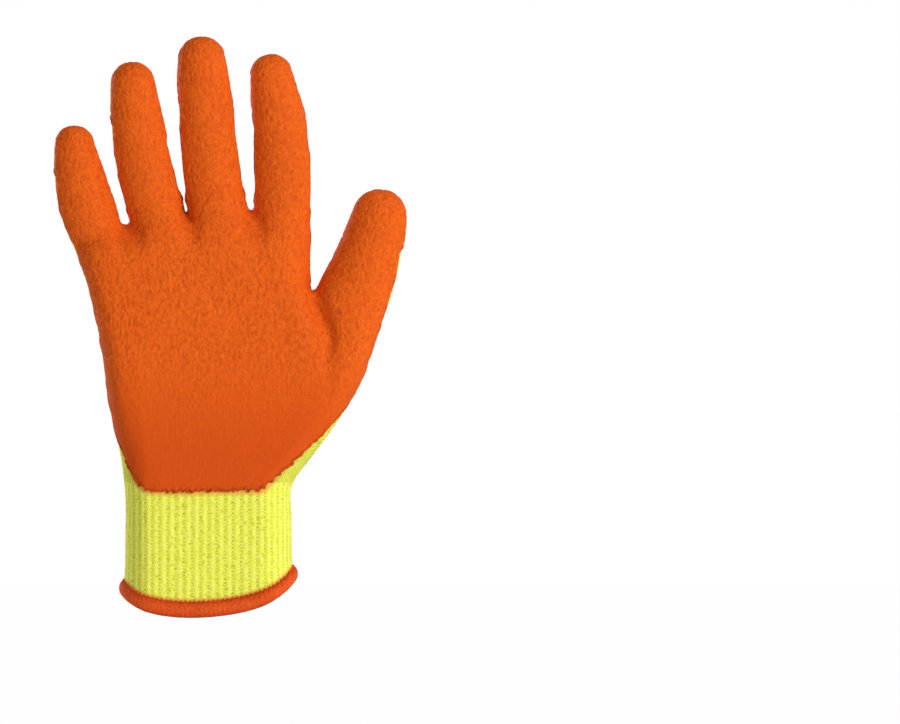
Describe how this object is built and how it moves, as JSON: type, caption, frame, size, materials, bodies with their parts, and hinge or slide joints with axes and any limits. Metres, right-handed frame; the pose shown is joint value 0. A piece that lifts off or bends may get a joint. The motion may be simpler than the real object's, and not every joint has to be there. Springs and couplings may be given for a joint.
{
  "type": "grip glove",
  "caption": "Right-hand work glove of seamless knit with a ribbed cuff, an overlocked hem and a crinkled latex coat over the palm, finger fronts and fingertips.",
  "frame": {"origin": "centre of the cuff's opening, level with the hem's lowest point", "axes": "+Z from the cuff to the fingertips, -Y out of the palm, +X towards the thumb"},
  "size_m": [0.1588, 0.0403, 0.2597],
  "materials": {
    "yellow_knit": "matt seamless yarn knit",
    "orange_latex": "matt crinkled latex",
    "orange_thread": "overlocked thread"
  },
  "bodies": {
    "root": {"knit_cuff": "yellow_knit", "knit_hand": "yellow_knit", "knit_little_finger": "yellow_knit", "knit_ring_finger": "yellow_knit", "knit_middle_finger": "yellow_knit", "knit_index_finger": "yellow_knit", "knit_thumb": "yellow_knit", "latex_coat": "orange_latex", "cuff_hem": "orange_thread"}
  },
  "joints": []
}
